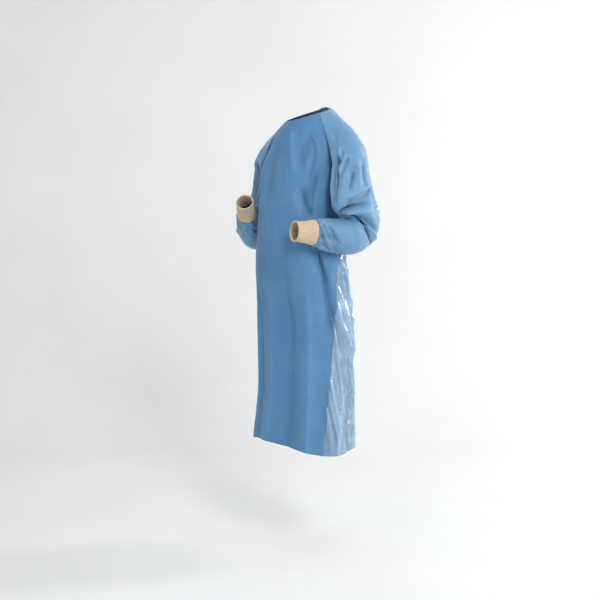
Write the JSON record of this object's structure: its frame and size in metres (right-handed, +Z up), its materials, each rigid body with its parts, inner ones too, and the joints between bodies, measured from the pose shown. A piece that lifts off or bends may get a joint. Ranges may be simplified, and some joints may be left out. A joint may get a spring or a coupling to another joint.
{
  "type": "surgical gown",
  "caption": "Worn long-sleeved surgical gown, open at the back under a lapped closing, with raglan sleeves, knitted cuffs, a bound neck and a waist tie.",
  "frame": {"origin": "middle of the neck opening, at the height of the shoulders, where the wearer holds the gown up", "axes": "+Z up from the hem to the neck, +X towards the wearer's left, and the front faces -Y"},
  "size_m": [0.5516, 0.3356, 1.1604],
  "materials": {
    "front_cloth": "matte nonwoven",
    "back_cloth": "satin nonwoven",
    "sleeve_cloth": "matte nonwoven",
    "knit": "ribbed knit",
    "trim": "matte nonwoven"
  },
  "bodies": {
    "root": {"gown_front": "front_cloth", "back_left": "back_cloth", "back_right": "back_cloth", "sleeve_left": "sleeve_cloth", "sleeve_right": "sleeve_cloth", "cuff_left": "knit", "cuff_right": "knit", "neck_binding": "trim", "neck_tab": "trim", "waist_tie_left": "trim", "waist_tie_right": "trim", "waist_bow": "trim"}
  },
  "joints": []
}
